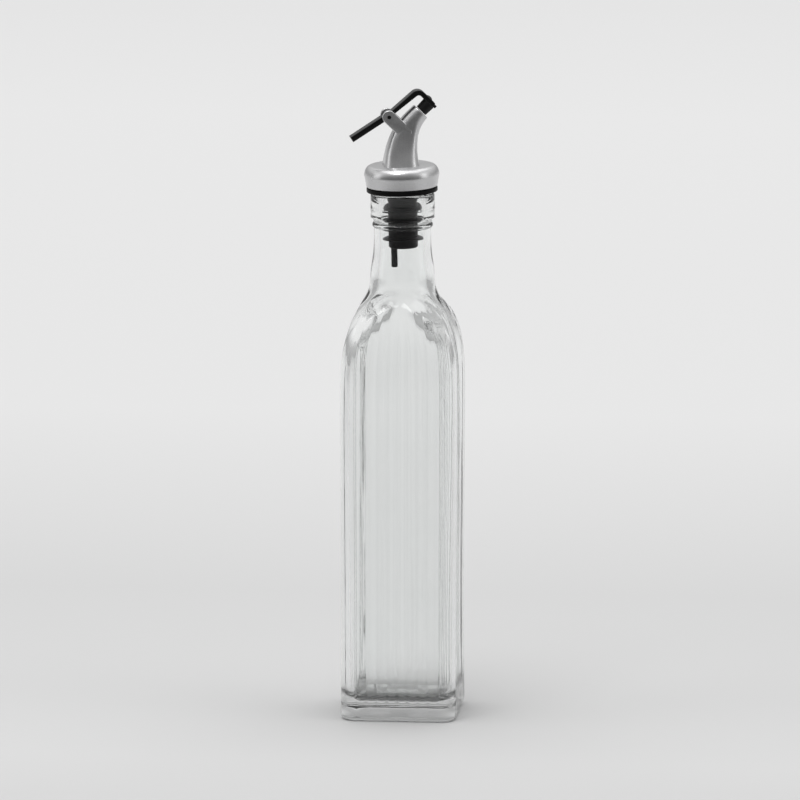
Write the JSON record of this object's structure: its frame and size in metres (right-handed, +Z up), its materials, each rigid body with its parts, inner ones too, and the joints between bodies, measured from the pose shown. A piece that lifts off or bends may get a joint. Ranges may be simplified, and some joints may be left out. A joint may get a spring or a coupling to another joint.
{
  "type": "oil bottle",
  "caption": "Square ribbed glass bottle with a round neck, a ringed stopper with an air tube, and a pouring spout that a small hinged lever shuts.",
  "frame": {"origin": "centre of the bottle's base, on the surface that it stands on", "axes": "+Z up along the bottle's axis; the four ribbed faces look along X and Y; the spout leans towards +X, turned 13 degrees towards +Y"},
  "size_m": [0.0572, 0.0572, 0.3075],
  "materials": {
    "clear_glass": "clear and glossy",
    "stopper_rubber": "satin black",
    "tube_plastic": "matt black",
    "silver_plastic": "satin silver",
    "lever_plastic": "semi-gloss black",
    "plug_rubber": "matt black"
  },
  "bodies": {
    "bottle": {"glass_bottle": "clear_glass", "stopper": "stopper_rubber", "breather_tube": "tube_plastic", "pourer": "silver_plastic"},
    "lever": {"flap_lever": "lever_plastic", "seal_plug": "plug_rubber"}
  },
  "joints": [
    {"name": "lever_hinge", "type": "hinge", "parent": "bottle", "child": "lever", "pos_m": [-0.00696, -0.00161, 0.29484], "axis": [0.225, -0.9744, 0], "range_deg": [0, 40]}
  ]
}
